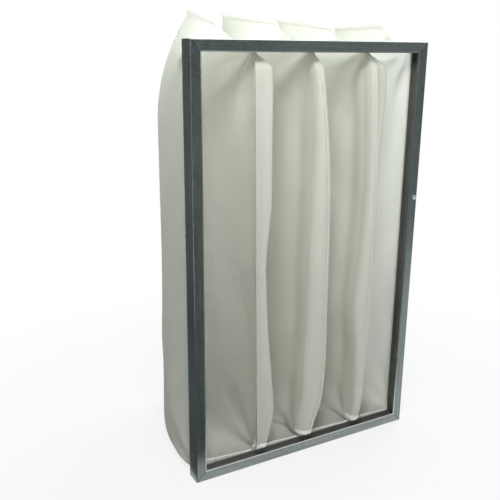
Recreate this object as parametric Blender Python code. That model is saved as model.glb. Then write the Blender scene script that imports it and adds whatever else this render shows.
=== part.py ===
"""Bag air filter: four sewn pockets of white non-woven medium in a folded galvanised header.

Metres, +Z up. X runs across the header. The air enters from -Y and the pockets trail towards +Y.
The origin is the middle of the header's underside, half way through its depth.
"""

import math

import bmesh
import bpy
import numpy as np

# Driving sizes of the header
HEADER_WIDTH = 0.364
HEADER_HEIGHT = 0.592
HEADER_DEPTH = 0.025
SHEET = 0.0008
FRONT_FLANGE = 0.014
REAR_FLANGE = 0.008
HEM = 0.004
BEND_RADIUS = 0.0015
MITRE_SLIT = 0.0005

# Driving sizes of the riveted lap that closes the strip
LAP_HEIGHT = 0.380
LAP_LENGTH = 0.030
JOGGLE = 0.004
RIVET_DROP = 0.008
RIVET_INSET = 0.0057
RIVET_SHANK = 0.0032
RIVET_HEAD = 0.0074
RIVET_DOME = 0.0014
RIVET_CROWN_ANGLE = 84
RIVET_TAIL = 0.0046
RIVET_TAIL_LENGTH = 0.003

# Driving size of the strips that clamp the medium
CLAMP_WIDTH = 0.0095

# Driving sizes of the pockets
POCKET_COUNT = 4
MEDIUM = 0.002
LIP_THICKNESS = 0.0012
LIP_WIDTH = 0.005
SEAM_ALLOWANCE = 0.006
POCKET_DEPTH = 0.211
FLOOR_SPREAD = 0.028
SHOULDER = 0.470
WAIST = 0.300
ROOF_DROP = 0.050
FLOOR_CROWN = 0.006
SIDE_BULGE = 0.020
BULGE_HEIGHT = 0.090
WALL_BELLY = 0.004
NOSE_LENGTH = 0.017
NOSE_END_START = 0.001
NOSE_END_TAPER = 0.020

# How far back each pocket's roof seam reaches and how high it stands over the header, left to right
TOP_REACH = (0.105, 0.188, 0.175, 0.174)
TOP_RISE = (0.033, 0.035, 0.032, 0.022)

# How wide the cloth rolls on each side of a seam, and how far the seam bows sideways, left to right
NOSE_LEFT = (0.008, 0.022, 0.018)
NOSE_RIGHT = (0.020, 0.010, 0.010)
SEAM_BOW = (0.005, 0.031, 0.024)

# Fits
CLEARANCE = 0.0003

# Curve exponents that shape the cloth
DROOP_CURVE = 2.2
FLOOR_FULLNESS = 2.2
SETTLE_CURVE = 8.0
BULGE_CURVE = 0.6
BOW_FOOT_CURVE = 16.0
BOW_HEAD_CURVE = 4.5
BOW_FADE = 1.5
COLUMN_CROWDING = 1.4

# Steps along each curve
BEND_STEPS = 3
HEM_STEPS = 4
TURN_STEPS = 16
FLOOR_ROWS = 3
SIDE_ROWS = 12
ROOF_ROWS = 4
MOUTH_COLUMNS = 4
BODY_COLUMNS = 9
SMOOTH_ANGLE = math.radians(35)

# Planes worked out from the sizes
FRONT = -HEADER_DEPTH / 2
REAR = HEADER_DEPTH / 2
LIP_REAR = REAR - SHEET - CLEARANCE
LIP_FRONT = LIP_REAR - LIP_THICKNESS
CLAMP_REAR = LIP_FRONT - CLEARANCE
HALF_WIDTH = HEADER_WIDTH / 2
MOUTH_INSET = REAR_FLANGE + CLEARANCE
POCKET_PITCH = (HEADER_WIDTH - 2 * MOUTH_INSET) / POCKET_COUNT
TONGUE_INSET = SHEET + CLEARANCE
NOSE_FOOT = MOUTH_INSET + MEDIUM + NOSE_END_START


def clear_scene():
    """Removes every object, so that only the filter is left."""
    for item in list(bpy.data.objects):
        bpy.data.objects.remove(item, do_unlink=True)


def make_material(name, colour, roughness, metallic):
    """A Principled material with one colour."""
    material = bpy.data.materials.new(name)
    material.use_nodes = True
    shader = material.node_tree.nodes["Principled BSDF"]
    shader.inputs["Base Color"].default_value = (*colour, 1.0)
    shader.inputs["Roughness"].default_value = roughness
    shader.inputs["Metallic"].default_value = metallic
    return material


def make_object(name, points, faces, material, smooth=False):
    """One named object from points and faces, with its faces turned outwards."""
    mesh = bpy.data.meshes.new(name)
    mesh.from_pydata([tuple(map(float, point)) for point in points], [], faces)
    shape = bmesh.new()
    shape.from_mesh(mesh)
    bmesh.ops.recalc_face_normals(shape, faces=shape.faces)
    shape.to_mesh(mesh)
    shape.free()
    if smooth:
        mesh.shade_smooth()
        mesh.set_sharp_from_angle(angle=SMOOTH_ANGLE)
    item = bpy.data.objects.new(name, mesh)
    bpy.context.scene.collection.objects.link(item)
    if material:
        mesh.materials.append(material)
    return item


def loft(sections):
    """Points and faces of a solid through equal closed sections, with both ends capped."""
    count = len(sections[0])
    points = [point for section in sections for point in section]
    faces = []
    for step in range(len(sections) - 1):
        base = step * count
        for i in range(count):
            j = (i + 1) % count
            faces.append((base + i, base + j, base + count + j, base + count + i))
    last = (len(sections) - 1) * count
    faces.append(tuple(range(count)))
    faces.append(tuple(range(last, last + count)))
    return points, faces


def arc(centre, radius, start, end, steps):
    """Points on an arc between two angles in degrees."""
    angles = np.radians(np.linspace(start, end, steps + 1))
    return [(centre[0] + radius * math.cos(t), centre[1] + radius * math.sin(t)) for t in angles]


def add_boolean(item, other, operation):
    """A Boolean on item with other, which is kept out of the render."""
    other.hide_render = True
    other.display_type = "WIRE"
    modifier = item.modifiers.new(other.name, "BOOLEAN")
    modifier.object = other
    modifier.operation = operation
    modifier.solver = "EXACT"


# Header strip


def channel_profile():
    """The strip's section as (inset from the outer edge, y): web, rear flange, hemmed front flange."""
    inner = BEND_RADIUS - SHEET
    bend = BEND_RADIUS
    outline = arc((bend, FRONT + bend), bend, 270, 180, BEND_STEPS)
    outline += arc((bend, REAR - bend), bend, 180, 90, BEND_STEPS)
    outline += [(REAR_FLANGE, REAR), (REAR_FLANGE, REAR - SHEET)]
    outline += arc((bend, REAR - bend), inner, 90, 180, BEND_STEPS)
    outline += arc((bend, FRONT + bend), inner, 180, 270, BEND_STEPS)
    outline += [(FRONT_FLANGE - HEM, FRONT + SHEET), (FRONT_FLANGE - HEM, FRONT + 2 * SHEET)]
    outline += arc((FRONT_FLANGE - SHEET, FRONT + SHEET), SHEET, 90, -90, HEM_STEPS)
    return outline


def right_jamb_section(profile, height):
    """A section laid square across the right jamb at one height."""
    return [(HALF_WIDTH - inset, y, height) for inset, y in profile]


def corner_section(profile, side, top):
    """A section laid on the mitre plane of one corner."""
    return [
        (side * (HALF_WIDTH - inset), y, HEADER_HEIGHT - inset if top else inset)
        for inset, y in profile
    ]


def tongue_profile(inset):
    """The lapped end's section: a web and a front flange, nested one sheet further in."""
    front = FRONT + inset
    rear = CLAMP_REAR - SHEET - CLEARANCE
    tip = FRONT_FLANGE - HEM - CLEARANCE
    return [
        (inset, front),
        (inset, rear),
        (inset + SHEET, rear),
        (inset + SHEET, front + SHEET),
        (tip, front + SHEET),
        (tip, front),
    ]


def box_along(start, end, half_thickness, low_y, high_y):
    """An upright wall between two (x, z) points, from low_y to high_y."""
    dx, dz = end[0] - start[0], end[1] - start[1]
    length = math.hypot(dx, dz)
    nx, nz = -dz / length * half_thickness, dx / length * half_thickness
    ring = [
        (start[0] + nx, start[1] + nz),
        (end[0] + nx, end[1] + nz),
        (end[0] - nx, end[1] - nz),
        (start[0] - nx, start[1] - nz),
    ]
    return loft([[(x, y, z) for x, z in ring] for y in (low_y, high_y)])


def join(parts):
    """Several sets of points and faces as one."""
    points, faces = [], []
    for part_points, part_faces in parts:
        base = len(points)
        points += part_points
        faces += [tuple(base + i for i in face) for face in part_faces]
    return points, faces


def turned(profile, centre_x, centre_z, steps):
    """A solid turned about a line along Y, from (radius, y) points that start and end off the axis."""
    rings = []
    for radius, y in profile:
        angles = np.linspace(0, 2 * math.pi, steps, endpoint=False)
        rings.append(
            [(centre_x + radius * math.cos(t), y, centre_z + radius * math.sin(t)) for t in angles]
        )
    return loft(rings)


def rivet_place():
    """The rivet's centre on the right jamb, as (x, z)."""
    return HALF_WIDTH - RIVET_INSET, LAP_HEIGHT - RIVET_DROP


def build_header(steel):
    """One strip folded at four corners, whose ends lap on the right jamb."""
    profile = channel_profile()
    sections = [
        right_jamb_section(profile, LAP_HEIGHT + CLEARANCE),
        corner_section(profile, 1, True),
        corner_section(profile, -1, True),
        corner_section(profile, -1, False),
        corner_section(profile, 1, False),
        right_jamb_section(profile, LAP_HEIGHT),
    ]
    header = make_object("header_frame", *loft(sections), steel, smooth=True)

    tongue = [
        right_jamb_section(tongue_profile(TONGUE_INSET), LAP_HEIGHT - LAP_LENGTH),
        right_jamb_section(tongue_profile(TONGUE_INSET), LAP_HEIGHT + CLEARANCE),
        right_jamb_section(tongue_profile(SHEET / 2), LAP_HEIGHT + JOGGLE),
        right_jamb_section(tongue_profile(SHEET / 2), LAP_HEIGHT + 2 * JOGGLE),
    ]
    add_boolean(header, make_object("lap_tongue", *loft(tongue), None), "UNION")

    cuts = []
    reach = FRONT_FLANGE + SHEET
    for side in (-1, 1):
        for edge, inward in ((0.0, 1), (HEADER_HEIGHT, -1)):
            start = (side * (HALF_WIDTH - BEND_RADIUS), edge + inward * BEND_RADIUS)
            end = (side * (HALF_WIDTH - reach), edge + inward * reach)
            cuts.append(box_along(start, end, MITRE_SLIT / 2, FRONT - SHEET, REAR + SHEET))
    x, z = rivet_place()
    hole = RIVET_SHANK / 2 + CLEARANCE
    hole_end = FRONT + TONGUE_INSET + 2 * SHEET
    cuts.append(turned([(hole, FRONT - SHEET), (hole, hole_end)], x, z, TURN_STEPS))
    add_boolean(header, make_object("header_cuts", *join(cuts), None), "DIFFERENCE")
    return header


def build_rivet(metal):
    """The blind rivet through both layers of the lapped front flange."""
    x, z = rivet_place()
    head_back = FRONT - CLEARANCE
    dome = [
        (RIVET_HEAD / 2 * math.cos(t), head_back - RIVET_DOME * math.sin(t))
        for t in np.radians(np.linspace(RIVET_CROWN_ANGLE, 0, HEM_STEPS + 1))
    ]
    tail_front = FRONT + TONGUE_INSET + SHEET + CLEARANCE
    shank = [
        (RIVET_SHANK / 2, head_back),
        (RIVET_SHANK / 2, tail_front),
        (RIVET_TAIL / 2, tail_front),
        (RIVET_TAIL / 2, tail_front + RIVET_TAIL_LENGTH / 2),
        (RIVET_SHANK / 2, tail_front + RIVET_TAIL_LENGTH),
    ]
    return make_object("closing_rivet", *turned(dome + shank, x, z, TURN_STEPS), metal, smooth=True)


# Clamp strips that trap the medium's lip against the rear flange


def angle_profile(inset, front):
    """An angle strip's section as (inset, y): a leg along the web and a leg over the lip."""
    return [
        (inset, front),
        (inset, CLAMP_REAR),
        (CLAMP_WIDTH, CLAMP_REAR),
        (CLAMP_WIDTH, CLAMP_REAR - SHEET),
        (inset + SHEET, CLAMP_REAR - SHEET),
        (inset + SHEET, front),
    ]


def build_clamps(steel):
    """Four angle strips that stand in the channel: long ones across, the upright ones between them."""
    inset = SHEET + CLEARANCE
    front = FRONT + SHEET + CLEARANCE
    lap_inset = TONGUE_INSET + SHEET + CLEARANCE
    lap_front = FRONT + TONGUE_INSET + SHEET + CLEARANCE
    across = HALF_WIDTH - lap_inset
    low, high = CLAMP_WIDTH + CLEARANCE, HEADER_HEIGHT - CLAMP_WIDTH - CLEARANCE
    plain = angle_profile(inset, front)
    lapped = angle_profile(lap_inset, lap_front)
    strips = {
        "clamp_strip_bottom": [[(x, y, d) for d, y in plain] for x in (-across, across)],
        "clamp_strip_top": [[(x, y, HEADER_HEIGHT - d) for d, y in plain] for x in (-across, across)],
        "clamp_strip_left": [[(d - HALF_WIDTH, y, z) for d, y in plain] for z in (low, high)],
        "clamp_strip_right": [[(HALF_WIDTH - d, y, z) for d, y in lapped] for z in (low, high)],
    }
    for name, sections in strips.items():
        make_object(name, *loft(sections), steel)


# Pockets


def divider_x(index):
    """The seam plane between pocket index - 1 and pocket index."""
    return -HALF_WIDTH + MOUTH_INSET + index * POCKET_PITCH


def top_of(index):
    """The reach and the height of one pocket's roof seam at its back corner."""
    return TOP_REACH[index % len(TOP_REACH)], HEADER_HEIGHT + TOP_RISE[index % len(TOP_RISE)]


def tip_y(index, z):
    """How far back the pocket's fold lies: longer at the floor, cut away where the top corner droops."""
    reach, top = top_of(index)
    spread = FLOOR_SPREAD * np.clip(1 - z / WAIST, 0, 1) ** 2
    droop = np.clip((z - SHOULDER) / (top - SHOULDER), 0, 1) ** DROOP_CURVE
    return FRONT + POCKET_DEPTH + spread - (POCKET_DEPTH - reach) * droop


def seam_bow(divider, z):
    """How far a seam bows sideways: out quickly above the floor, back slowly towards the roof."""
    share = np.clip((z - NOSE_FOOT) / (HEADER_HEIGHT - 2 * NOSE_FOOT), 0, 1)
    most = SEAM_BOW[(divider - 1) % len(SEAM_BOW)]
    return most * (1 - (1 - share) ** BOW_FOOT_CURVE) * (1 - share**BOW_HEAD_CURVE)


def row_plan(index, skin):
    """Rows of one wall from the floor seam up to the roof seam.

    Each row holds its height at the mouth and at the fold, how far it has turned in towards the
    middle (0 on the wall, 1 on the seam), and the outward direction of its lip.
    """
    low, high = MOUTH_INSET + skin, HEADER_HEIGHT - MOUTH_INSET - skin
    peak = top_of(index)[1]
    lowest, highest = skin, peak - SEAM_ALLOWANCE * skin / MEDIUM
    stretch = (peak - ROOF_DROP - FLOOR_CROWN) / (HEADER_HEIGHT - 2 * MOUTH_INSET)
    rows = []
    for turn in np.linspace(1, 0, FLOOR_ROWS, endpoint=False):
        corner = FLOOR_CROWN + (low - MOUTH_INSET) * stretch
        rows.append((low, lowest + (corner - lowest) * (1 - turn), turn, 0, -1))
    foot, top = NOSE_FOOT, HEADER_HEIGHT - NOSE_FOOT
    between = np.linspace(foot + NOSE_END_TAPER, top - NOSE_END_TAPER, SIDE_ROWS)
    for height in [low, foot, *between, top, high]:
        ends = -1 if height == low else 1 if height == high else 0
        rows.append((height, FLOOR_CROWN + (height - MOUTH_INSET) * stretch, 0, 1, ends))
    for turn in np.linspace(0, 1, ROOF_ROWS + 1)[1:]:
        corner = FLOOR_CROWN + (high - MOUTH_INSET) * stretch
        rows.append((high, corner + (highest - corner) * turn, turn, 0, 1))
    return [np.array(column, float)[:, None] for column in zip(*rows)]


def wall_points(index, side, skin):
    """One wall of a pocket as a grid of points, rows from floor to roof, columns from rim to fold.

    skin is 0 for the outer surface and the medium's thickness for the surface inside the pocket.
    """
    mouth_z, fold_z, turn, sideways, upward = row_plan(index, skin)
    middle = divider_x(index) + POCKET_PITCH / 2
    divider = index + (side > 0)
    on_rail = divider in (0, POCKET_COUNT)
    plane = middle + side * POCKET_PITCH / 2
    plane -= 0 if on_rail else side * CLEARANCE / 2
    bow = seam_bow(divider, mouth_z) * (sideways > 0) * (not on_rail)

    # The lip lies in front of the rear flange, turned outwards on a rail.
    lip_y = LIP_REAR if skin == 0 else LIP_FRONT
    lip_out = np.linspace(LIP_WIDTH + skin, 0, MOUTH_COLUMNS)[None, :]
    lip_inset = skin - lip_out * sideways if on_rail else skin - skin * lip_out / (LIP_WIDTH + skin)
    rim_z = mouth_z + upward * lip_out

    # On a seam the wall rolls forward into a nose, which tapers into the lip near the rails.
    from_end = np.minimum(mouth_z, HEADER_HEIGHT - mouth_z) - NOSE_FOOT
    full = np.clip(from_end / NOSE_END_TAPER, 0, 1) * (sideways > 0) * (not on_rail)
    inner = MEDIUM - skin
    widths = NOSE_LEFT if side > 0 else NOSE_RIGHT
    nose = widths[(divider - 1) % len(widths)] - inner
    roll = np.linspace(math.pi / 2, 0, MOUTH_COLUMNS, endpoint=False)[None, :]
    rim_inset = lip_inset + (nose * np.cos(roll) - lip_inset) * full
    rim_y = lip_y + (REAR - (NOSE_LENGTH - inner) * np.sin(roll) - lip_y) * full
    mouth_inset = skin + (nose - skin) * full

    # Behind the flange each row runs back to the fold, fuller near the floor.
    back = np.linspace(0, 1, BODY_COLUMNS + 1)[None, :] ** COLUMN_CROWDING
    low_share = np.clip(1 - fold_z / WAIST, 0, 1)
    fullness = 1 + (FLOOR_FULLNESS - 1) * low_share
    fold_y = tip_y(index, fold_z) - skin
    body_y = REAR + (fold_y - REAR) * back
    body_z = mouth_z + (fold_z - mouth_z) * (1 - (1 - back) ** SETTLE_CURVE)
    bulge = SIDE_BULGE * on_rail * np.exp(-((fold_z / BULGE_HEIGHT) ** 2))
    bulge = bulge * np.sin(math.pi * back**BULGE_CURVE)
    bulge = bulge + WALL_BELLY * (1 - low_share) * np.sin(math.pi * back)
    half_fold = MEDIUM - skin + CLEARANCE
    wall_half = POCKET_PITCH / 2 - (0 if on_rail else CLEARANCE / 2) - mouth_inset - half_fold
    body_half = wall_half * (1 - back**fullness) + bulge
    rim_half = side * (plane - middle) - rim_inset - half_fold
    half = np.concatenate([rim_half, body_half], axis=1) * (1 - turn) + half_fold
    shift = np.concatenate([bow * np.ones_like(roll), bow * (1 - back) ** BOW_FADE], axis=1)

    x = middle + side * half + shift
    y = np.concatenate([np.broadcast_to(rim_y, rim_half.shape), body_y], axis=1)
    z = np.concatenate([np.broadcast_to(rim_z, rim_half.shape), body_z], axis=1)
    return np.stack([x, y, z], axis=2)


def tube_faces(start, rows, columns, flip):
    """Faces of a grid that closes on itself row by row, with its last column sewn up as the fold."""
    faces = []
    for row in range(rows):
        after = (row + 1) % rows
        for column in range(columns - 1):
            a, b = start + row * columns + column, start + after * columns + column
            faces.append((a, b, b + 1, a + 1))
    last = columns - 1
    for row in range(rows // 2 - 1):
        other = rows - 1 - row
        ring = [row, row + 1, other - 1, other]
        faces.append(tuple(start + i * columns + last for i in ring))
    return [face[::-1] for face in faces] if flip else faces


def build_pocket(index, medium):
    """A pocket: two walls of medium sewn at roof and floor and folded at the back, open at the mouth."""
    grids = []
    for skin in (0, MEDIUM):
        left = wall_points(index, -1, skin)
        right = wall_points(index, 1, skin)
        grids.append(np.concatenate([left, right[::-1]], axis=0))
    rows, columns = grids[0].shape[:2]
    count = rows * columns
    points = np.concatenate([grid.reshape(-1, 3) for grid in grids])
    faces = tube_faces(0, rows, columns, False) + tube_faces(count, rows, columns, True)
    for row in range(rows):
        a, b = row * columns, (row + 1) % rows * columns
        faces.append((a, b, b + count, a + count))
    return make_object(f"pocket_{index + 1}", points, faces, medium, smooth=True)


def main():
    clear_scene()
    header_steel = make_material("galvanised_header", (0.25, 0.29, 0.28), 0.38, 1.0)
    clamp_steel = make_material("galvanised_clamp", (0.16, 0.17, 0.16), 0.45, 1.0)
    rivet_metal = make_material("rivet_aluminium", (0.72, 0.73, 0.72), 0.3, 1.0)
    medium = make_material("white_medium", (0.80, 0.82, 0.76), 0.95, 0.0)
    build_header(header_steel)
    build_rivet(rivet_metal)
    build_clamps(clamp_steel)
    for index in range(POCKET_COUNT):
        build_pocket(index, medium)


main()
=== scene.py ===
"""Bag air filter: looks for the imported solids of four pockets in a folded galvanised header.

Metres, +Z up. X runs across the header, air enters from -Y, and the pockets trail towards +Y.
"""

# %% [markdown]
# # A bag air filter, dressed for a photograph
#
# The real object is a frame of galvanised strip with four long pockets of white fibre medium sewn
# into it. The solids of the frame are already exact, so they stay and only get a better material.
# The cloth is another matter: its solids are plain shells, so this lesson builds each pocket again
# as one thin sheet with rolled seams, folds and stitches, and lets it stand for its solid.

import math

import bpy
import numpy as np
from mathutils import Matrix, Vector


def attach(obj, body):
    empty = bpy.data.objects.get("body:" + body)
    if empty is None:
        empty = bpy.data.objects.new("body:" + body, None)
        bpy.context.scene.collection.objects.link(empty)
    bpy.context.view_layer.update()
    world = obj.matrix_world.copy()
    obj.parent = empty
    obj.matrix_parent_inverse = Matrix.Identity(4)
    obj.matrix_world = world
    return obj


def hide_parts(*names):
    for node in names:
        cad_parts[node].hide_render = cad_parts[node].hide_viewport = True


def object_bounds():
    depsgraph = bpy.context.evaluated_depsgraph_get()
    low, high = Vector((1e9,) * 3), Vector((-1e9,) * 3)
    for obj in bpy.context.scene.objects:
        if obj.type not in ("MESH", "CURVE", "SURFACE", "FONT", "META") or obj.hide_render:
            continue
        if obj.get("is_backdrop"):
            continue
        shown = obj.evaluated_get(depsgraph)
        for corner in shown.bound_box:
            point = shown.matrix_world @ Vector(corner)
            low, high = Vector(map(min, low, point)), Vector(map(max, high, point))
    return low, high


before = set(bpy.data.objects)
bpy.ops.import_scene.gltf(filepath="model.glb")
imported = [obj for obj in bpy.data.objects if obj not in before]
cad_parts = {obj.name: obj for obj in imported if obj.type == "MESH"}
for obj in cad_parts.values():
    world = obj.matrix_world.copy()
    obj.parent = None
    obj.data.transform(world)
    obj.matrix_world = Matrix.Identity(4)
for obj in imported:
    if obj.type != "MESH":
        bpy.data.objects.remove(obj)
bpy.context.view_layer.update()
print("solids:", ", ".join(sorted(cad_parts)))

# %% [markdown]
# ## Camera
#
# The photograph looks at the front of the filter from its left and from above. A camera is a place
# and three axes. Yaw, pitch and roll give the axes, and a 36 mm wide sensor turns the focal length
# in pixels into a lens in millimetres.

# %% Camera
CAMERA_PLACE = (-0.5188, -0.7667, 0.5802)
CAMERA_YAW, CAMERA_PITCH, CAMERA_ROLL = 29.0, -16.32, 0.44
FOCAL_PIXELS, IMAGE_PIXELS, SENSOR_MM = 684.7, 500, 36.0


def aim(place, yaw, pitch, roll):
    """A camera's matrix: along +Y, turned right by yaw, up by pitch, then rolled, in degrees."""
    y, p, r = (math.radians(angle) for angle in (yaw, pitch, roll))
    forward = Vector((math.sin(y) * math.cos(p), math.cos(y) * math.cos(p), math.sin(p)))
    level = Vector((math.cos(y), -math.sin(y), 0))
    above = level.cross(forward)
    across = level * math.cos(r) + above * math.sin(r)
    up = above * math.cos(r) - level * math.sin(r)
    turned = Matrix((across, up, -forward)).transposed()
    return Matrix.Translation(place) @ turned.to_4x4()


scene = bpy.context.scene
camera = bpy.data.objects.new("camera", bpy.data.cameras.new("camera"))
camera.data.sensor_width = SENSOR_MM
camera.data.lens = FOCAL_PIXELS / IMAGE_PIXELS * SENSOR_MM
camera.matrix_world = aim(CAMERA_PLACE, CAMERA_YAW, CAMERA_PITCH, CAMERA_ROLL)
scene.collection.objects.link(camera)
bpy.context.scene.camera = camera
print("lens:", round(camera.data.lens, 1), "mm")

# %% [markdown]
# ## Writing shader maths as expressions
#
# A procedural material is a sum of patterns, and in Blender each plus and times is a Math node.
# The first class below wraps a socket, so that `1 - mask * 0.3` adds those nodes by itself. The
# second adds any other node, in a material or in the world, from its type, settings and inputs.


# %% Shader helpers
class Socket:
    """An output socket that can be used in arithmetic with numbers and other sockets."""

    def __init__(self, tree, link):
        self.tree, self.link = tree, link

    def maths(self, operation, *values, clamp=False):
        """One Math node on the values, held between 0 and 1 where clamp is set."""
        settings = dict(operation=operation, use_clamp=clamp)
        return self.tree.node("ShaderNodeMath", settings, dict(enumerate(values)))

    def __add__(self, other):
        return self.maths("ADD", self, other)

    def __sub__(self, other):
        return self.maths("SUBTRACT", self, other)

    def __rsub__(self, other):
        return self.maths("SUBTRACT", other, self)

    def __mul__(self, other):
        return self.maths("MULTIPLY", self, other)

    __radd__ = __add__
    __rmul__ = __mul__

    def size(self):
        """The value without its sign."""
        return self.maths("ABSOLUTE", self)

    def ramp(self, low, high, start=0.0, end=1.0):
        """The span low..high carried to start..end, smoothly and with both ends held."""
        fed = {"Value": self, "From Min": low, "From Max": high, "To Min": start, "To Max": end}
        return self.tree.node("ShaderNodeMapRange", dict(interpolation_type="SMOOTHSTEP"), fed)


class Tree:
    """The nodes of a material or a world."""

    def __init__(self, owner):
        owner.use_nodes = True
        self.nodes, self.links = owner.node_tree.nodes, owner.node_tree.links

    def node(self, kind, settings, inputs, output=0):
        """Adds a node, sets it up, feeds its inputs, and returns one of its outputs."""
        made = self.nodes.new(kind)
        for setting, value in settings.items():
            setattr(made, setting, value)
        for name, value in inputs.items():
            if isinstance(value, Socket):
                self.links.new(value.link, made.inputs[name])
            else:
                made.inputs[name].default_value = value
        return Socket(self, made.outputs[output])

    def several(self, kind, inputs, outputs):
        """Adds one node and returns several of its outputs."""
        made = self.node(kind, {}, inputs).link.node
        return [Socket(self, made.outputs[name]) for name in outputs]

    def direct(self):
        """1 for rays of the camera, of a reflection or straight through, 0 for scattered ones."""
        kinds = ["Is Camera Ray", "Is Glossy Ray", "Is Transmission Ray", "Is Diffuse Ray"]
        camera_ray, glossy, passed, scattered = self.several("ShaderNodeLightPath", {}, kinds)
        shown = camera_ray + glossy + passed
        return shown.maths("MULTIPLY", shown, 1 - scattered, clamp=True)


class Paint(Tree):
    """One material with a Principled shader, and the nodes that feed it."""

    def __init__(self, name, **constants):
        self.material = bpy.data.materials.new(name)
        super().__init__(self.material)
        self.shader = self.nodes["Principled BSDF"]
        for socket, value in constants.items():
            self.shader.inputs[socket.replace("_", " ")].default_value = value

    def place(self, scale=(1, 1, 1)):
        """Object coordinates, stretched or squeezed along the axes."""
        at = self.node("ShaderNodeTexCoord", {}, {}, "Object")
        return self.node("ShaderNodeMapping", {}, {"Vector": at, "Scale": scale})

    def axes(self):
        """Object coordinates as three values, X, Y and Z."""
        return self.several("ShaderNodeSeparateXYZ", {"Vector": self.place()}, "XYZ")

    def noise(self, where, scale, detail=2.0, roughness=0.5):
        """Soft noise from 0 to 1."""
        fed = {"Vector": where, "Scale": scale, "Detail": detail, "Roughness": roughness}
        return self.node("ShaderNodeTexNoise", {}, fed, "Fac")

    def blend(self, factor, first, second):
        """Two colours mixed by a factor. A Mix node has them at 6 and 7, and the result at 2."""
        fed = {0: factor, 6: (*first, 1.0), 7: (*second, 1.0)}
        return self.node("ShaderNodeMix", dict(data_type="RGBA"), fed, 2)

    def bump(self, height, strength, distance):
        """A normal bent by a height."""
        fed = {"Height": height, "Strength": strength, "Distance": distance}
        return self.node("ShaderNodeBump", {}, fed, "Normal")

    def feed(self, **sockets):
        """Links values to the Principled shader's sockets."""
        for name, value in sockets.items():
            self.links.new(value.link, self.shader.inputs[name.replace("_", " ")])
        return self

    def mix_in(self, factor, other):
        """Mixes a share of another shader with the Principled one."""
        own = Socket(self, self.shader.outputs["BSDF"])
        both = self.node("ShaderNodeMixShader", {}, {0: factor, 1: own, 2: other})
        self.links.new(both.link, self.nodes["Material Output"].inputs["Surface"])


# %% [markdown]
# ## Sizes of the header
#
# The header stands about the plane y = 0 with its bottom on the floor. The pattern of its steel,
# the hem round its mouth and the pockets behind it are all placed by the same three lengths.

# %% Sizes of the header
HEADER_WIDTH, HEADER_HEIGHT, HEADER_DEPTH = 0.364, 0.592, 0.025
HALF_WIDTH, HALF_HEIGHT = HEADER_WIDTH / 2, HEADER_HEIGHT / 2
FRONT, REAR = -HEADER_DEPTH / 2, HEADER_DEPTH / 2
print("header:", HEADER_WIDTH, "x", HEADER_HEIGHT, "x", HEADER_DEPTH, "m")

# %% [markdown]
# ## Galvanised sheet
#
# Zinc sets in flat crystals, the spangle, a few millimetres across, each with its own grey and its
# own gloss. Rolling the strip leaves fine lines along it, so they stand upright on the jambs, lie
# level on the other two sides and meet at the mitres. A Voronoi pattern gives the crystals, two
# stretched noises the lines, and a soft one the dull patches of a part that has been handled. The
# sheet is too smooth for a bump, which would only break its reflections into specks.

# %% Galvanised steel
CRYSTAL_SCALE, LINE_SCALE, DULL_SCALE = 260.0, 420.0, 9.0
LINE_STRETCH = 0.02
MITRE_BLUR = 0.0004
# The last share is painted shade that darkens the jambs against the rails.
CRYSTAL_GREY, LINE_GREY, DULL_GREY, JAMB_PAINTED_SHADE = 0.10, 0.50, 0.34, 0.10
GREY_SPAN = (0.22, 0.68)
CRYSTAL_GLOSS, DULL_GLOSS = 0.05, 0.12


def galvanised(name, dark, light, roughness):
    """Zinc-coated sheet: faint crystals of several greys, rolling lines, dull patches.

    A spot is on a jamb where it is nearer to a side edge than to the top or bottom edge, so where
    |x| - half the width is more than |z - half the height| - half the height. The jambs are darker
    than the rails by painted shade.
    """
    paint = Paint(name, Metallic=1.0, Roughness=roughness)
    where = paint.place()
    cells = dict(feature="F1", voronoi_dimensions="3D")
    fed = {"Vector": where, "Scale": CRYSTAL_SCALE}
    tint = paint.node("ShaderNodeTexVoronoi", cells, fed, "Color")
    crystal = paint.node("ShaderNodeSeparateColor", {}, {"Color": tint}, "Red")
    upright = paint.noise(paint.place(scale=(1, 1, LINE_STRETCH)), LINE_SCALE)
    level = paint.noise(paint.place(scale=(LINE_STRETCH, 1, 1)), LINE_SCALE)
    dull = paint.noise(where, DULL_SCALE, detail=3.0)
    x, _, z = paint.axes()
    beyond = x.size() - (z - HALF_HEIGHT).size() + (HALF_HEIGHT - HALF_WIDTH)
    jamb = beyond.ramp(-MITRE_BLUR, MITRE_BLUR)
    lines = upright * jamb + level * (1 - jamb)
    # Painted shade: the jambs are made darker than the rails.
    grain_and_painted_shade = crystal * CRYSTAL_GREY + lines * LINE_GREY + dull * DULL_GREY - jamb * JAMB_PAINTED_SHADE
    colour = paint.blend(grain_and_painted_shade.ramp(*GREY_SPAN), dark, light)
    rough = (crystal - 0.5) * CRYSTAL_GLOSS + (dull - 0.5) * DULL_GLOSS + roughness
    return paint.feed(Base_Color=colour, Roughness=rough).material


def repaint(node, material):
    """Gives a CAD node its finished material."""
    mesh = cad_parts[node].data
    mesh.materials.clear()
    mesh.materials.append(material)


header_steel = galvanised("header_steel", (0.19, 0.222, 0.212), (0.30, 0.338, 0.325), 0.30)
clamp_steel = galvanised("clamp_steel", (0.23, 0.23, 0.218), (0.34, 0.34, 0.32), 0.62)
repaint("header_frame", header_steel)
for strip in ("bottom", "top", "left", "right"):
    repaint(f"clamp_strip_{strip}", clamp_steel)
print("painted the header and four clamp strips")

# %% [markdown]
# ## The rivet
#
# A blind rivet is bare bright metal, scuffed by the tool that pulled it. Fine noise makes some
# spots rougher than others and dents them slightly.

# %% Rivet
RIVET_GLOSS, RIVET_SCUFF = 0.12, 0.25
rivet_metal = Paint("rivet_metal", Metallic=1.0, Roughness=0.22, Base_Color=(0.8, 0.81, 0.8, 1))
scuffs = rivet_metal.noise(rivet_metal.place(), scale=900.0)
dents = rivet_metal.bump(scuffs, strength=0.3, distance=0.0002)
rivet_metal.feed(Roughness=scuffs * RIVET_SCUFF + RIVET_GLOSS, Normal=dents)
repaint("closing_rivet", rivet_metal.material)
print("painted the rivet")
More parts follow.
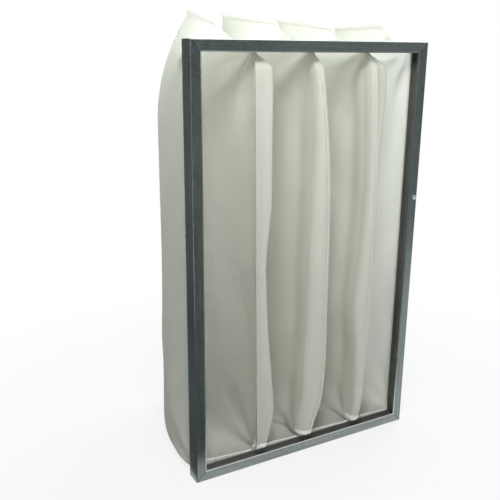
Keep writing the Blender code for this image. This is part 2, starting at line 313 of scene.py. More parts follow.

# %% [markdown]
# ## Hem of the front flange
#
# The front flange ends in a hem, strip folded flat on itself, and such a fold is round. It catches
# a thin line of light round the mouth, so a slim bead is laid along the solid's edge. The bead's
# colour changes with height: a painted highlight near the floor and painted shade above it.

# %% Meshes and the hem
CRISP = math.radians(50)
HEM_INSET, HEM_Y, HEM_RADIUS, HEM_SIDES = 0.0142, -0.0117, 0.0007, 12
HEM_PAINTED_HIGHLIGHT, HEM_PAINTED_SHADE, HEM_HIGHLIGHT_STEP = (0.80, 0.82, 0.81), (0.20, 0.23, 0.22), (0.02, 0.12)


def new_piece(name, points, faces, material, crisp=math.pi):
    """A smooth mesh object. Edges that bend by more than the angle crisp stay sharp."""
    mesh = bpy.data.meshes.new(name)
    mesh.from_pydata(np.reshape(points, (-1, 3)).tolist(), [], faces)
    mesh.shade_smooth()
    mesh.set_sharp_from_angle(angle=crisp)
    mesh.materials.append(material)
    piece = bpy.data.objects.new(name, mesh)
    scene.collection.objects.link(piece)
    return piece


def bead(name, corners, radius, sides, material):
    """A closed round bead along a rectangle of corners in the XZ plane, mitred at each corner.

    A circle stands at each corner in the plane of the diagonal, widened by the diagonal's length,
    so that the bead between two corners is round.
    """
    corners = np.array(corners, float)
    outward = np.sign(corners - corners.mean(axis=0)) * (1, 0, 1)
    turn = np.arange(sides)[:, None] / sides * 2 * math.pi
    circle = outward[:, None] * np.cos(turn) + np.array((0, 1, 0)) * np.sin(turn)
    rings = corners[:, None] + radius * circle
    here = np.arange(4 * sides).reshape(4, sides)
    after = np.roll(here, -1, axis=0)
    ring_faces = [here, after, np.roll(after, -1, axis=1), np.roll(here, -1, axis=1)]
    faces = np.stack(ring_faces, axis=2).reshape(-1, 4).tolist()
    return new_piece(name, rings, faces, material, CRISP)


hem_x, hem_top = HALF_WIDTH - HEM_INSET, HEADER_HEIGHT - HEM_INSET
hem_corners = [(-hem_x, HEM_INSET), (hem_x, HEM_INSET), (hem_x, hem_top), (-hem_x, hem_top)]
hem_steel_painted_highlight = Paint("hem_steel_painted_highlight", Metallic=1.0, Roughness=0.45)
hem_height = hem_steel_painted_highlight.axes()[2]
# Painted highlight near the floor and painted shade above: the bead's colour changes with height.
hem_steel_painted_highlight.feed(Base_Color=hem_steel_painted_highlight.blend(hem_height.ramp(*HEM_HIGHLIGHT_STEP), HEM_PAINTED_HIGHLIGHT, HEM_PAINTED_SHADE))
hem_path = [(x, HEM_Y, z) for x, z in hem_corners]
hem = bead("front_hem", hem_path, HEM_RADIUS, HEM_SIDES, hem_steel_painted_highlight.material)
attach(hem, "root")
print("hem:", len(hem.data.polygons), "faces")

# %% [markdown]
# ## The sheet that a pocket is made of
#
# A pocket is one length of medium, folded at the back and sewn along its roof and its floor. So it
# is one surface of two parameters: along the mouth's edge from the floor seam up to the roof seam,
# and from the mouth back to the fold. The sizes below are those of the solids. Where there are four
# of them, they go from the left pocket to the right one. A crowding or a curve is an exponent.

# %% Sizes of the pockets
POCKET_COUNT = 4
MOUTH_INSET = 0.0083
PITCH = (HEADER_WIDTH - 2 * MOUTH_INSET) / POCKET_COUNT
SKIN = 0.001
THICKNESS = 0.0012
TOUCH = THICKNESS / 2 + 0.0001
POCKET_DEPTH = 0.211
FLOOR_SPREAD = 0.028
SHOULDER, WAIST = 0.470, 0.300
ROOF_DROP, FLOOR_CROWN = 0.050, 0.006
SIDE_BULGE, BULGE_HEIGHT = 0.014, 0.150
WALL_BELLY = 0.004
LOW_FULLNESS = 1.2
ROUNDING, RAIL_ROUNDING = 0.8, 0.1
ROUND_HEIGHT, ROUND_ONSET = 0.075, 0.3
FIN_HEIGHT, FLOOR_FIN, FIN_LEAST = 0.006, 0.4, 0.0003
FIN_GROWS = (REAR + 0.002, REAR + 0.014)
FLOOR_RISE = 0.004
SEAM_SLIP, SLIP_CURVE = 0.022, 1.5
TIP_RADIUS = 0.020
TOP_REACH = (0.105, 0.188, 0.175, 0.174)
TOP_RISE = (0.038, 0.037, 0.032, 0.022)
ROOF_START = (0.605, 0.609, 0.604, 0.610)
DROOP_CURVE, RISE_CURVE, RIDGE_CURVE, BULGE_CURVE, BOW_CURVE = 2.2, 8, 30, 0.6, 1.5
EDGE_ROWS, SIDE_ROWS, FIN_ROWS = 14, 150, 4
RIM_COLUMNS, BODY_COLUMNS = 28, 60
ROW_CROWDING, COLUMN_CROWDING = 1.25, 1.3
print("pocket pitch:", round(PITCH, 4), "m")

# %% [markdown]
# ## How a seam wanders
#
# Where two pockets are sewn together the cloth rolls forward on both sides of the seam. The rolls
# are not even: the first seam has a wide roll on its right, the others a wide roll on their left,
# and each swells and narrows as it goes down. The seams bow sideways as well. Tables of millimetres
# by height, one row for each of the three seams and joined smoothly, say so.

# %% Rolls beside the seams
HEIGHTS = (0.0, 0.03, 0.07, 0.13, 0.20, 0.30, 0.38, 0.45, 0.52, 0.56, 0.592)
ROLL_RIGHT = (
    (9, 13, 25, 20, 14, 10, 20, 20, 21, 21, 15),
    (4, 4, 4, 4, 4, 4, 4, 4, 5, 6, 6),
    (4, 4, 5, 5, 5, 5, 5, 8, 20, 22, 14),
)
ROLL_LEFT = (
    (1.2,) * len(HEIGHTS),
    (12, 18, 24, 27, 23, 21, 19, 13, 9, 7, 6),
    (7, 8, 9, 10, 18, 12, 9, 8, 7, 6, 6),
)
SEAM_BOW = (
    (10, 11, 10, 9, 8, 6.5, 5, 4, 3, 2, 3),
    (5, 11, 27, 31, 30, 29, 28, 23, 14, 7, 0),
    (5, 14, 18, 20, 22, 23, 23, 21, 14, 10, 3),
)
AVERAGED = np.linspace(-0.018, 0.018, 13)
NOSE_LENGTH, NOSE_FOOT = 0.016, 0.0113
STEP_BACK, OVERHANG = 0.012, 0.0082
CREST_SHARE, SOFT_CREST, FLAT_CREST = 0.4, 0.0022, 0.0032
SOFT_GROOVE = 0.0035
HOLLOW, HOLLOW_WIDTHS = 0.0018, (0.005, 0.012)


def smooth(value, low, high):
    """0 below low, 1 above high, and the curve 3t^2 - 2t^3 between them."""
    share = np.clip((value - low) / (high - low), 0, 1)
    return share * share * (3 - 2 * share)


def by_height(values_mm, z):
    """Millimetres given at HEIGHTS, joined by straight lines and averaged over 36 mm of height."""
    return np.interp(z + AVERAGED[None, :], HEIGHTS, values_mm).mean(axis=1, keepdims=True) / 1000


def quarters():
    """The rim's columns as a count from 0 to 4, one for each quarter of a roll's section."""
    return np.linspace(0, 1, RIM_COLUMNS, endpoint=False)[None, :] * 4


def soft_profile(width):
    """Section of a soft roll: out of the groove, then a quarter of an ellipse back to the wall."""
    at = quarters()
    out, round_back = np.clip(at, 0, 1) * math.pi / 2, np.clip(at - 1, 0, 3) * math.pi / 6
    crest = np.maximum(np.minimum(SOFT_CREST, CREST_SHARE * width), TOUCH)
    inset = TOUCH + (crest - TOUCH) * (1 - np.cos(out)) + (width - crest) * np.sin(round_back)
    ahead = NOSE_LENGTH * np.cos(round_back) - SOFT_GROOVE * (1 - np.sin(out))
    return inset, ahead


def roll_profile(width, groove, corner, step=0.0, overhang=0.0):
    """Section of the roll beside a seam, from the rim in the groove to the plane of the mouth.

    Four stretches of equal count: forward out of the groove, across the flat front, round the
    corner, and back along the wall. The front of a wide roll is slightly hollow near its crest.
    Returns the distance from the seam and the reach forward.
    """
    out, flat, bend, rest = (np.clip(quarters() - start, 0, 1) for start in range(4))
    crest = np.maximum(np.minimum(FLAT_CREST, CREST_SHARE * width), TOUCH) - overhang
    corner = np.minimum(corner, 0.5 * (width - crest))
    reach = NOSE_LENGTH - step
    inset = TOUCH + (crest - TOUCH) * (1 - np.cos(out * math.pi / 2))
    inset = inset + (width - corner - crest) * flat + corner * np.sin(bend * math.pi / 2)
    ahead = reach - groove * (1 - np.sin(out * math.pi / 2))
    hollow = smooth(flat, 0, 0.35) * (1 - 0.7 * smooth(flat, 0.5, 1))
    ahead = ahead - HOLLOW * smooth(width, *HOLLOW_WIDTHS) * hollow * (1 - rest)
    ahead = ahead - corner * (1 - np.cos(bend * math.pi / 2)) - (reach - corner) * rest
    return inset, ahead


def seam_roll(divider, side, width):
    """The section on one side of a seam. At the first seam the left side steps back."""
    if divider == 1 and side > 0:
        return roll_profile(width, groove=0.001, corner=0.006, step=STEP_BACK)
    if divider == 1:
        return roll_profile(width, groove=0.010, corner=0.003, overhang=OVERHANG)
    if side > 0:
        return soft_profile(width)
    return roll_profile(width, groove=0.0035, corner=0.003)


print("widest roll:", max(max(row) for row in ROLL_RIGHT + ROLL_LEFT), "mm")

# %% [markdown]
# ## The rows of a wall
#
# The floor and roof rows turn in from the wall to the seam in the pocket's middle, the side rows go
# straight back from the mouth to the fold. The fold lies farther back at the floor and is cut away
# where the top corner droops. Beyond the seam a few more rows stand up as the sewn fin.


# %% Rows and fold
def tip_y(index, z):
    """The fold's place: an even depth, plus a spread near the floor, minus the top's droop."""
    reach, top = TOP_REACH[index], HEADER_HEIGHT + TOP_RISE[index]
    spread = FLOOR_SPREAD * np.clip(1 - z / WAIST, 0, 1) ** 2
    droop = np.clip((z - SHOULDER) / (top - SHOULDER), 0, 1) ** DROOP_CURVE
    round_off = TIP_RADIUS - np.sqrt(TIP_RADIUS**2 - np.clip(TIP_RADIUS - z, 0, TIP_RADIUS) ** 2)
    return FRONT + POCKET_DEPTH + spread - round_off - (POCKET_DEPTH - reach) * droop


def row_plan(index):
    """Rows from the floor's fin to the roof's fin.

    Each row has its height at the mouth, its height at the fold, its turn towards the middle, its
    share of the side wall, the outward direction of its lip, and its place on a fin. The side rows
    lie closer together near the floor, where the cloth bends most.
    """
    low, high = MOUTH_INSET + SKIN, HEADER_HEIGHT - MOUTH_INSET - SKIN
    peak = HEADER_HEIGHT + TOP_RISE[index] - FIN_HEIGHT
    foot = FIN_HEIGHT * FLOOR_FIN + THICKNESS
    stretch = (peak + FIN_HEIGHT - ROOF_DROP - FLOOR_CROWN) / (HEADER_HEIGHT - 2 * MOUTH_INSET)
    side = low + (high - low) * np.linspace(0, 1, SIDE_ROWS) ** ROW_CROWDING
    edge = np.linspace(1, 0, EDGE_ROWS, endpoint=False)
    corner_low = FLOOR_CROWN + (low - MOUTH_INSET) * stretch + FLOOR_RISE
    corner_high = FLOOR_CROWN + (high - MOUTH_INSET) * stretch
    side_fold = corner_low + (corner_high - corner_low) * (side - low) / (high - low)
    one, none = np.ones(FIN_ROWS), np.zeros(EDGE_ROWS)
    fin = np.arange(FIN_ROWS, 0, -1) / FIN_ROWS
    mouth = np.concatenate([one * low, none + low, side, none + high, one * high])
    up_low = foot + (corner_low - foot) * (1 - edge)
    up_high = corner_high + (peak - corner_high) * edge[::-1]
    fold = np.concatenate([one * foot, up_low, side_fold, up_high, one * peak])
    turn = np.concatenate([one, edge, 0 * side, edge[::-1], one])
    sideways = np.concatenate([0 * one, none, 0 * side + 1, none, 0 * one])
    upward = np.concatenate([-one, none - 1, 0 * side, none + 1, one])
    upward[FIN_ROWS + EDGE_ROWS], upward[-FIN_ROWS - EDGE_ROWS - 1] = -1, 1
    finned = np.concatenate([-fin, none, 0 * side, none, fin[::-1]])
    return [column[:, None] for column in (mouth, fold, turn, sideways, upward, finned)]


print("rows in a wall:", len(row_plan(0)[0]))

# %% [markdown]
# ## Folds in the cloth
#
# Handled cloth is never flat. Long shallow waves run across the walls, a soft valley lies behind
# the rolls, and small creases fan out from the corners of the mouth, where the cloth is gathered
# most. The whole pocket also leans and sways a little, more the farther back it is.

# %% Folds and sway
BROAD, SMALL, CALM_LEFT, CALM = 0.0040, 0.0008, 0.3, 0.6
VALLEY, VALLEY_BACK, VALLEY_WIDTH, VALLEY_TOP = 0.0040, 0.022, 0.016, 0.56
TOP_FAN, FOOT_FAN, FAN_INSET = 0.0048, 0.0036, 0.01
FAN_REACH, FAN_START = 0.06, (0.004, 0.03)
FAN_RIPPLE, FAN_FLAT = 12, 0.004
WAVE_TILT, WAVE_RISE, WAVE_PEAK = 0.9, 1.4, 1.4
LEAN, LEAN_STARTS, LEAN_CURVE = (-0.012, 0.002, -0.002, 0.003), (0.01, 0.15), 1.5
LONG_SWAY, SHORT_SWAY, SWAY_DEPTH = 0.004, 0.0012, 0.2


def waves(rng, y, z, count, shortest, longest):
    """A sum of plane waves of random direction, scaled so that it seldom passes 1."""
    total = 0
    for _ in range(count):
        length = rng.uniform(shortest, longest)
        angle = rng.uniform(-WAVE_TILT, WAVE_TILT)
        phase = rng.uniform(0, 2 * math.pi)
        along = y * math.cos(angle) + z * math.sin(angle) * WAVE_RISE
        total = total + np.sin(2 * math.pi * along / length + phase)
    return total / math.sqrt(count) / WAVE_PEAK


def fan(rng, y, z, corner_z, count):
    """Creases that fan out from a corner of the mouth and fade within some ten centimetres."""
    away, up = y - REAR, z - corner_z
    radius = np.hypot(away, up)
    angle = np.arctan2(up, away + FAN_FLAT)
    ripple = np.sin(count * angle + rng.uniform(0, 6) + FAN_RIPPLE * radius)
    return ripple * np.exp(-radius / FAN_REACH) * smooth(radius, *FAN_START)


def folds(divider, side, y, z):
    """How far a wall stands out of its plain shape, in metres.

    Broad and small waves, calmer at the left, plus the two fans, plus a valley of bell-shaped
    section behind the second and third seams' left rolls.
    """
    rng = np.random.default_rng(100 + 10 * divider + (side > 0))
    calm = CALM_LEFT if divider < 2 else CALM
    broad = BROAD * calm * waves(rng, y, z, 5, 0.10, 0.26)
    small = SMALL * calm * waves(rng, y, z, 6, 0.025, 0.06)
    bell = np.exp(-(((y - REAR - VALLEY_BACK) / VALLEY_WIDTH) ** 2))
    valley = VALLEY * bell * smooth(VALLEY_TOP - z, 0, 0.10)
    top = TOP_FAN * fan(rng, y, z, HEADER_HEIGHT - FAN_INSET, 9)
    foot = FOOT_FAN * fan(rng, y, z, FAN_INSET, 8)
    return broad + small + top + foot + valley * (divider in (2, 3)) * (side > 0)


def sway(index, y, z):
    """The sideways lean and wave of a whole pocket, growing towards the fold."""
    rng = np.random.default_rng(7 + index)
    behind = np.clip((y - REAR) / SWAY_DEPTH, 0, 1.2)
    turns = z / rng.uniform(0.35, 0.5) + rng.uniform(0, 1)
    long_wave = LONG_SWAY * (index > 0) * np.sin(2 * math.pi * turns)
    short_wave = SHORT_SWAY * (index > 0) * waves(rng, y, z, 4, 0.05, 0.09)
    lean = LEAN[index] * smooth(z, *LEAN_STARTS)
    return (lean + long_wave + short_wave) * behind**LEAN_CURVE


print("lean of the pockets:", LEAN, "m")

# %% [markdown]
# ## The shape of one wall
#
# A wall's columns come in two runs. The first lies in the mouth: on the floor, the roof and the
# outer sides it is a lip that turns out under the clamp strips, curled where nothing holds it, and
# beside a seam it is the roll. LIP counts it from 1 at the rim to 0 at the mouth. The second goes
# from the mouth back to the fold and BACK counts it from 0 to 1: it is drawn in along a quarter
# circle at the floor, and it bulges at the outer sides.

# %% One wall
LIP_Y, LIP_WIDTH, LIP_LEAST, RAIL_GAP = 0.0108, 0.005, 0.0006, 0.0004
CURL, TOP_CURL = (0.0140, 0.0110, 0.0105, 0.0110), 0.0035
CURL_TAPER, CURL_FORWARD = 0.8, 0.4
LIP = np.linspace(1, 0, RIM_COLUMNS)[None, :]
BACK = np.linspace(0, 1, BODY_COLUMNS + 1)[None, :] ** COLUMN_CROWDING
ROLL_FOOT, ROLL_HEAD = (NOSE_FOOT - 0.002, NOSE_FOOT + 0.008), (NOSE_FOOT, NOSE_FOOT + 0.024)
FREE_WIDTH, FREE_FROM = 0.025, (REAR - 0.006, REAR + 0.03)


def lip_of(index, side, plan, on_rail):
    """The lip's distance from the seam, its place in Y and its height, from the rim to the mouth.

    It reaches outwards past the mouth, and a half sine wave curls it back up, less and less towards
    the pocket's right.
    """
    mouth_z, _, turn, sideways, upward, _ = plan
    outward = LIP_WIDTH * np.clip(2 * LIP - 1, 0, 1) + LIP_LEAST
    inset = TOUCH + RAIL_GAP - outward * sideways if on_rail else TOUCH + 0 * outward
    across = 0.5 + side * (1 - turn) / 2
    low_curl = CURL[index] * (1 - CURL_TAPER * across)
    curl = np.sin(math.pi * np.clip(2 * LIP, 0, 1))
    curl_up = np.where(upward > 0, TOP_CURL, low_curl) * curl * np.abs(upward)
    to_rear = (REAR - LIP_Y) * (1 - LIP) * np.clip(2 - 4 * LIP, 0, 1)
    y = LIP_Y - curl_up * CURL_FORWARD + to_rear
    return inset, y, mouth_z + upward * (outward - curl_up)


def body_of(index, side, plan, mouth_inset, on_rail):
    """Half the pocket's width, the place in Y and the height, from the mouth back to the fold.

    The width shrinks as 1 - back^n, where n grows from 1 to 2.2 near the floor, and a sine adds
    the belly. The roof rows rise at once to a ridge and then run straight to the fold.
    """
    mouth_z, fold_z, turn, _, upward, _ = plan
    low_share = np.clip(1 - fold_z / WAIST, 0, 1)
    y = REAR + (tip_y(index, fold_z) - SKIN - REAR) * BACK
    rise = fold_z - mouth_z
    start = (ROOF_START[index] - mouth_z) * np.maximum(turn, 0) * (upward > 0)
    z = mouth_z + rise * (1 - (1 - BACK) ** RISE_CURVE)
    ridge = mouth_z + start * (1 - (1 - BACK) ** RIDGE_CURVE) + (rise - start) * BACK
    z = np.where(upward * turn > 0, z + (ridge - z) * turn, z)
    bulge = SIDE_BULGE * on_rail * np.exp(-((fold_z / BULGE_HEIGHT) ** 2))
    bulge = bulge * np.sin(math.pi * BACK**BULGE_CURVE)
    bulge = bulge + WALL_BELLY * (1 - low_share) * np.sin(math.pi * BACK)
    fullness = 1 + LOW_FULLNESS * low_share
    half = (PITCH / 2 - mouth_inset - TOUCH) * (1 - BACK**fullness) + bulge
    near_floor = np.clip(1 - (mouth_z - MOUTH_INSET - SKIN) / ROUND_HEIGHT, 0, 1)
    low_corner = 1 - np.sqrt(1 - near_floor**2)
    rounding = RAIL_ROUNDING if side < 0 and on_rail else ROUNDING
    return half * (1 - rounding * low_corner * smooth(BACK, 0.0, ROUND_ONSET)), y, z


def wall(index, side):
    """The middle of one wall's cloth: rows from floor to roof, columns from rim to fold.

    The lip, the roll beside it and the body are joined, and the seam's bow and slip move them
    sideways. Folds then push the wall out where it has room, and the pocket's sway is added.
    """
    plan = row_plan(index)
    mouth_z, _, turn, sideways, upward, finned = plan
    divider = index + (side > 0)
    on_rail = divider in (0, POCKET_COUNT)
    middle = -HALF_WIDTH + MOUTH_INSET + (index + 0.5) * PITCH

    lip_inset, lip_y, rim_z = lip_of(index, side, plan, on_rail)
    rolls = ROLL_LEFT if side > 0 else ROLL_RIGHT
    width = by_height(rolls[(divider - 1) % len(rolls)], mouth_z)
    roll_inset, roll_ahead = seam_roll(divider, side, width)
    full = smooth(mouth_z, *ROLL_FOOT) * smooth(HEADER_HEIGHT - mouth_z, *ROLL_HEAD)
    full = full * sideways * (not on_rail)
    rim_inset = lip_inset + (roll_inset - lip_inset) * full
    rim_y = lip_y + (REAR - roll_ahead - lip_y) * full
    mouth_inset = TOUCH + (width - TOUCH) * full

    body_half, body_y, body_z = body_of(index, side, plan, mouth_inset, on_rail)
    rim_half = PITCH / 2 - rim_inset - TOUCH
    half = np.concatenate([rim_half, body_half], axis=1) * (1 - turn) + TOUCH
    bow = 0 * mouth_z if on_rail else by_height(SEAM_BOW[divider - 1], mouth_z) * sideways
    shift = np.concatenate([bow + 0 * LIP, bow * (1 - BACK) ** BOW_CURVE], axis=1)
    slip = np.concatenate([1 - LIP + 0 * turn, (1 - BACK) ** 2 + 0 * turn], axis=1)
    slip = SEAM_SLIP * slip * np.abs(turn) ** SLIP_CURVE * (upward <= 0)
    x = middle + side * half + shift - slip
    y = np.concatenate([rim_y + 0 * rim_half, body_y], axis=1)
    z = np.concatenate([rim_z + 0 * rim_half, body_z], axis=1)

    grown = FIN_HEIGHT * smooth(y, *FIN_GROWS) + FIN_LEAST
    z = z + finned * np.where(finned < 0, grown * FLOOR_FIN, grown)
    room = np.clip((np.abs(half) - TOUCH) / FREE_WIDTH, 0, 1) * smooth(y, *FREE_FROM)
    push = folds(divider, side, y, z) * room * (1 - turn)
    return np.stack([x + (side * push + sway(index, y, z)), y, z], axis=2)


def sheet_of(index):
    """One pocket's cloth as a grid: from the left rim back to the fold and on to the right rim."""
    left, right = wall(index, -1), wall(index, 1)
    return np.concatenate([left, right[:, ::-1]], axis=1)


print("grid of a pocket:", sheet_of(0).shape[:2])

# %% [markdown]
# ## From a surface to cloth
#
# A sheet needs a thickness, and a surface alone has none. Each grid point moves half of it along
# the surface's normal, one copy outwards and one inwards, and a strip of faces closes the edge all
# round. That keeps the mesh a closed solid that faces outwards.


# %% Thin shell
def normals_of(grid):
    """Unit normals of a grid: the cross product of its two directions."""
    along = np.gradient(grid, axis=1)
    up = np.gradient(grid, axis=0)
    cross = np.cross(along, up)
    return cross / np.maximum(np.linalg.norm(cross, axis=2, keepdims=True), 1e-9)


def shell(name, grid, thickness, material):
    """A closed thin solid of even thickness about a grid of points."""
    rows, columns = grid.shape[:2]
    outwards = normals_of(grid) * thickness / 2
    points = np.stack([grid + outwards, grid - outwards])
    index = np.arange(rows * columns).reshape(rows, columns)
    a, b, c, d = index[:-1, :-1], index[:-1, 1:], index[1:, 1:], index[1:, :-1]
    top = np.stack([a, b, c, d], axis=2).reshape(-1, 4)
    bottom = np.stack([d, c, b, a], axis=2).reshape(-1, 4) + rows * columns
    edge = np.concatenate([index[0, :-1], index[:-1, -1], index[-1, :0:-1], index[:0:-1, 0]])
    after = np.roll(edge, -1)
    rim = np.stack([after, edge, edge + rows * columns, after + rows * columns], axis=1)
    faces = np.concatenate([top, bottom, rim]).tolist()
    return new_piece(name, points, faces, material, CRISP)


# %% [markdown]
# ## White fibre medium
#
# The medium is a mat of white fibres, matt and faintly cloudy where it is thicker. A soft noise
# gives the clouds, a fine stretched one the fibres, and a wider one the faint level lines of a mat
# that was laid in layers. It also lets light through, so a wall with light behind it glows: a
# Translucent shader mixed into the Principled one does that. The lips over the bottom clamp strip
# are gathered; a box near the floor in front lets less light through there, so they look whiter: a
# painted highlight.

# %% Medium
FIBRE_SQUEEZE, WEFT_SQUEEZE = (1, 1, 3.5), (0.3, 0.3, 2.4)
CLOUDS, FIBRES, WEFT = 0.35, 0.25, 0.4
MAT_SPAN = (0.3, 0.7)
FIBRE_RELIEF, WEFT_RELIEF = 0.5, 0.8
DEEP_WHITE, PALE_WHITE = (0.81, 0.816, 0.766), (0.905, 0.911, 0.870)
PASSED_WHITE = (0.858, 0.864, 0.818, 1.0)
PASSED, LIP_PAINTED_HIGHLIGHT = 0.72, 0.6
LIPS_BELOW, LIPS_AHEAD, LIPS_BLUR = 0.0262, 0.0128, (0.002, 0.0006)

medium = Paint("white_medium", Roughness=0.95, Sheen_Weight=0.15, Specular_IOR_Level=0.15)
clouds = medium.noise(medium.place(), scale=28.0, detail=4.0)
fibres = medium.noise(medium.place(FIBRE_SQUEEZE), scale=520.0, detail=3.0, roughness=0.65)
weft = medium.noise(medium.place(WEFT_SQUEEZE), scale=360.0, detail=1.0)
mat = clouds * CLOUDS + fibres * FIBRES + weft * WEFT
relief = fibres * FIBRE_RELIEF + weft * WEFT_RELIEF
medium.feed(
    Base_Color=medium.blend(mat.ramp(*MAT_SPAN), DEEP_WHITE, PALE_WHITE),
    Normal=medium.bump(relief, strength=0.3, distance=0.0006),
)
through = medium.node("ShaderNodeBsdfTranslucent", {}, {"Color": PASSED_WHITE}, "BSDF")
_, depth, height = medium.axes()
# Painted highlight: near the floor in front, less light passes through the lips, so they reflect
# more and look whiter.
low = (LIPS_BELOW - height).ramp(0.0, LIPS_BLUR[0])
lips_painted_highlight = low * (LIPS_AHEAD - depth).ramp(0.0, LIPS_BLUR[1])
medium.mix_in(PASSED - lips_painted_highlight * LIP_PAINTED_HIGHLIGHT, through)
print("medium:", len(medium.nodes), "nodes")

# %% [markdown]
# ## Thread
#
# The roof and floor seams are sewn, so a row of stitches runs along both faces of every fin. Each
# stitch is a short six-sided spindle, thinner at its ends where the thread dives into the cloth.

# %% Stitches
STITCH, STITCH_GAP, THREAD = 0.0030, 0.0045, 0.00035
SPINDLE_ALONG, SPINDLE_GIRTH, SPINDLE_SIDES = (-0.5, -0.3, 0.3, 0.5), (0.4, 1.0, 1.0, 0.4), 6
SPINDLE_POINTS = len(SPINDLE_ALONG) * SPINDLE_SIDES
SPINDLE_FACES = SPINDLE_POINTS - SPINDLE_SIDES + 2
THREAD_OUT, SEWN_FROM, LOOK_AHEAD = 0.6, REAR + 0.018, 0.001


def spindles(centres, tangents, start):
    """Points, counted from start, and faces of one spindle of thread per centre.

    Four rings follow each other along the tangent. Each is a circle whose radius is the thread's
    times the ring's girth, and the first and the last are closed by a face.
    """
    along = np.array(SPINDLE_ALONG)[:, None] * STITCH
    girth = np.array(SPINDLE_GIRTH)[:, None] * THREAD
    angle = np.arange(SPINDLE_SIDES)[None, :] / SPINDLE_SIDES * 2 * math.pi
    side = np.cross(tangents, (1.0, 0.0, 0.0))
    across = np.array((1.0, 0.0, 0.0)) + 0 * side
    spots = (along + 0 * angle, girth * np.cos(angle), girth * np.sin(angle))
    points = centres[:, None, None]
    for direction, spot in zip((tangents, side, across), spots):
        points = points + direction[:, None, None] * spot[None, :, :, None]
    ring = np.arange(SPINDLE_POINTS).reshape(-1, SPINDLE_SIDES)
    a, b = ring[:-1], np.roll(ring, -1, axis=1)[:-1]
    quads = np.stack([a, b, b + SPINDLE_SIDES, a + SPINDLE_SIDES], axis=2).reshape(-1, 4)
    first = start + np.arange(len(centres))[:, None, None] * SPINDLE_POINTS
    faces = (quads[None] + first).reshape(-1, 4).tolist()
    caps = np.stack([ring[0][::-1], ring[-1]])[None] + first
    return points.reshape(-1, 3), faces + caps.reshape(-1, SPINDLE_SIDES).tolist()


def seam_line(grid, seam_row, fin_row):
    """Places and directions of the stitches half way up a fin, behind the header.

    The lengths between the line's points add up to the run, and a stitch lies at every equal step
    of it. Its direction is that of the next millimetre.
    """
    line = (grid[seam_row] + grid[fin_row]) / 2
    line = line[line[:, 1] > SEWN_FROM]
    run = np.concatenate([[0], np.cumsum(np.linalg.norm(np.diff(line, axis=0), axis=1))])
    stops = np.arange(STITCH_GAP, run[-1] - STITCH_GAP, STITCH_GAP)
    centres, ahead = (
        np.stack([np.interp(at, run, line[:, axis]) for axis in range(3)], axis=1)
        for at in (stops, stops + LOOK_AHEAD)
    )
    tangents = ahead - centres
    return centres, tangents / np.linalg.norm(tangents, axis=1, keepdims=True)


def sew(name, index, material):
    """All stitches of one pocket as one mesh: roof and floor fins, both faces."""
    points, faces, count = [], [], 0
    for side in (-1, 1):
        grid = wall(index, side)
        for seam_row, fin_row in ((FIN_ROWS, 0), (-FIN_ROWS - 1, -1)):
            centres, tangents = seam_line(grid, seam_row, fin_row)
            centres = centres + (side * (THICKNESS / 2 + THREAD * THREAD_OUT), 0, 0)
            more_points, more_faces = spindles(centres, tangents, count)
            points.append(more_points)
            faces += more_faces
            count += len(more_points)
    return new_piece(name, np.concatenate(points), faces, material)


thread = Paint("sewing_thread", Base_Color=(0.86, 0.86, 0.83, 1), Roughness=0.6)
twist = thread.noise(thread.place(), scale=1500.0)
thread.feed(Normal=thread.bump(twist, strength=0.3, distance=0.0002))
for number in range(POCKET_COUNT):
    stitches = sew(f"pocket_{number + 1}_stitches", number, thread.material)
    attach(stitches, "root")
    print(stitches.name, len(stitches.data.polygons) // SPINDLE_FACES, "stitches")

# %% [markdown]
# ## The four pockets
#
# Each pocket's sheet now stands for its solid, and the solid is hidden. Cloth is cut flat before it
# is sewn.

# %% Pockets
for number in range(POCKET_COUNT):
    grid = sheet_of(number)
    pocket = shell(f"pocket_{number + 1}_cloth", grid, THICKNESS, medium.material)
    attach(pocket, "root")
    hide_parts(f"pocket_{number + 1}")

# %% [markdown]
# ## World
#
# The studio is white, and a white world would light the cloth from all sides and wash out its
# folds. So the world is white where it is seen, by the camera, in a reflection or straight through
# something, and almost dark for the light that cloth scatters.

# %% World
AMBIENT = 0.05
scene.view_settings.view_transform = "Standard"
world = bpy.data.worlds.new("studio")
scene.world = world
sky = Tree(world)
background = sky.nodes["Background"]
background.inputs["Color"].default_value = (1, 1, 1, 1)
strength = sky.direct() * (1 - AMBIENT) + AMBIENT
sky.links.new(strength.link, background.inputs["Strength"])
print("world:", len(sky.nodes), "nodes")

# %% [markdown]
# ## Lamps
#
# A large soft lamp overhead and one from the left brighten the roofs, a small one high in front
# draws the rolls, a wide one far in front fills the mouth, and one behind on the right shines
# through the cloth. White cloth clips easily, so the watts are kept low. Each lamp has its place,
# the point it looks at, its size, its watts and its colour.

# %% Lamps
COOL, COOLER, WHITE = (0.92, 0.955, 1.0), (0.90, 0.95, 1.0), (1, 1, 1)


def lamp(name, place, target, size, watts, colour):
    """A square area lamp that looks at a target."""
    light = bpy.data.lights.new(name, "AREA")
    light.size, light.energy, light.color = size, watts, colour
    item = bpy.data.objects.new(name, light)
    item.location = place
    item.rotation_euler = (Vector(target) - Vector(place)).to_track_quat("-Z", "Y").to_euler()
    item.visible_camera = False
    scene.collection.objects.link(item)


LAMPS = {
    "overhead": ((0.26, 0.25, 1.18), (0.03, 0.1, 0.4), 0.7, 6.7, COOL),
    "left_top": ((-0.50, 0.18, 0.98), (-0.1, 0.08, 0.45), 0.4, 3.5, COOL),
    "high_front": ((-0.30, -0.42, 0.98), (0.03, 0.05, 0.45), 0.25, 6.8, WHITE),
    "front": ((-0.35, -2.05, 0.7), (0, 0, 0.3), 1.2, 18.0, WHITE),
    "right": ((0.80, 0.45, 0.85), (0.1, 0.1, 0.35), 0.5, 5.6, COOLER),
}
for name, settings in LAMPS.items():
    lamp(name, *settings)
print("lamps:", ", ".join(LAMPS))

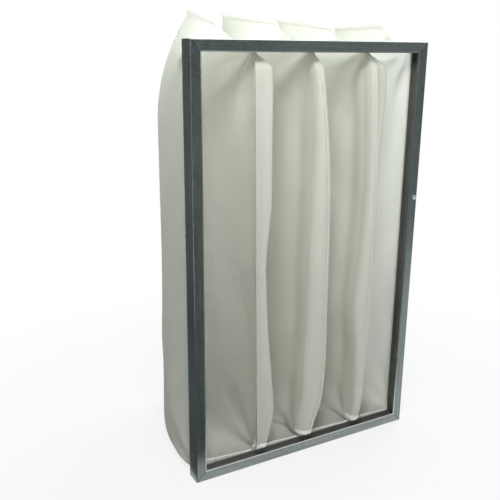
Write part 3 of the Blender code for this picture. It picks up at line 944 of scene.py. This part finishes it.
# %% [markdown]
# ## Dark cards
#
# Bright metal looks dark where it mirrors something dark. Dark cards stand in front of and beside
# the object and lie on the floor, as in a product photographer's studio, and a paler one stands at
# the right, where the steel is lighter in the photograph. Only reflections see them.

# %% Cards
DARK, MIDDLE = (0.11, 0.13, 0.125, 1), (0.50, 0.53, 0.525, 1)
CARD_HEIGHT, ABOVE_FLOOR = 2, 0.001


def card(name, colour, corners):
    """A card that only reflections see."""
    paint = Paint(name, Base_Color=colour, Roughness=0.9)
    item = new_piece(name, corners, [(0, 1, 2, 3)], paint.material)
    item.visible_camera = item.visible_diffuse = False
    item.visible_shadow = item.visible_transmission = False
    item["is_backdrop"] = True


def upright(left, right, y):
    """Corners of a card that stands on the floor and faces along Y."""
    return [(left, y, 0), (right, y, 0), (right, y, CARD_HEIGHT), (left, y, CARD_HEIGHT)]


def lying(*corners):
    """Corners of a card that lies just above the floor."""
    return [(x, y, ABOVE_FLOOR) for x, y in corners]


CARDS = {
    "front_card": (DARK, upright(-1.5, 0.42, -0.72)),
    "right_card": (MIDDLE, upright(0.42, 2.5, -0.72)),
    "side_card": (DARK, upright(-2.5, -0.35, 0.75)),
    "near_card": (DARK, lying((-0.7, -0.72), (0.35, -0.72), (-0.02, -0.06), (-0.7, -0.06))),
    "left_card": (DARK, lying((-2.0, -0.05), (-0.186, -0.05), (-0.20, 0.75), (-2.0, 0.75))),
}
for name, (colour, corners) in CARDS.items():
    card(name, colour, corners)
print("cards:", ", ".join(CARDS))

# %% [markdown]
# ## Floor
#
# The floor is pale and keeps the object's shadow, then fades into the white of the world: its own
# shader gives way to a white glow with the distance. Like the world, the glow is only for rays that
# see it directly.

# %% Floor
FLOOR_HALF = 6.0
FADE_NEAR, FADE_FAR, NEAR_GLOW = 0.2, 0.8, 0.8
pale = Paint("pale_floor", Base_Color=(0.62, 0.62, 0.62, 1), Roughness=0.7)
glow = pale.node("ShaderNodeEmission", {}, {"Color": (1, 1, 1, 1), "Strength": 1.0}, "Emission")
away = pale.node("ShaderNodeVectorMath", dict(operation="LENGTH"), {0: pale.place()}, "Value")
pale.mix_in(away.ramp(FADE_NEAR, FADE_FAR, NEAR_GLOW, 1.0) * pale.direct(), glow)
signs = ((-1, -1), (1, -1), (1, 1), (-1, 1))
floor_corners = [(FLOOR_HALF * x, FLOOR_HALF * y, 0) for x, y in signs]
floor = new_piece("floor", floor_corners, [(0, 1, 2, 3)], pale.material)
floor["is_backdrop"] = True
print("floor:", 2 * FLOOR_HALF, "m wide")

# %% [markdown]
# ## Bounds
#
# The box round the visual model is found, leaving out the floor and the cards.

# %% Bounds
low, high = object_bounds()
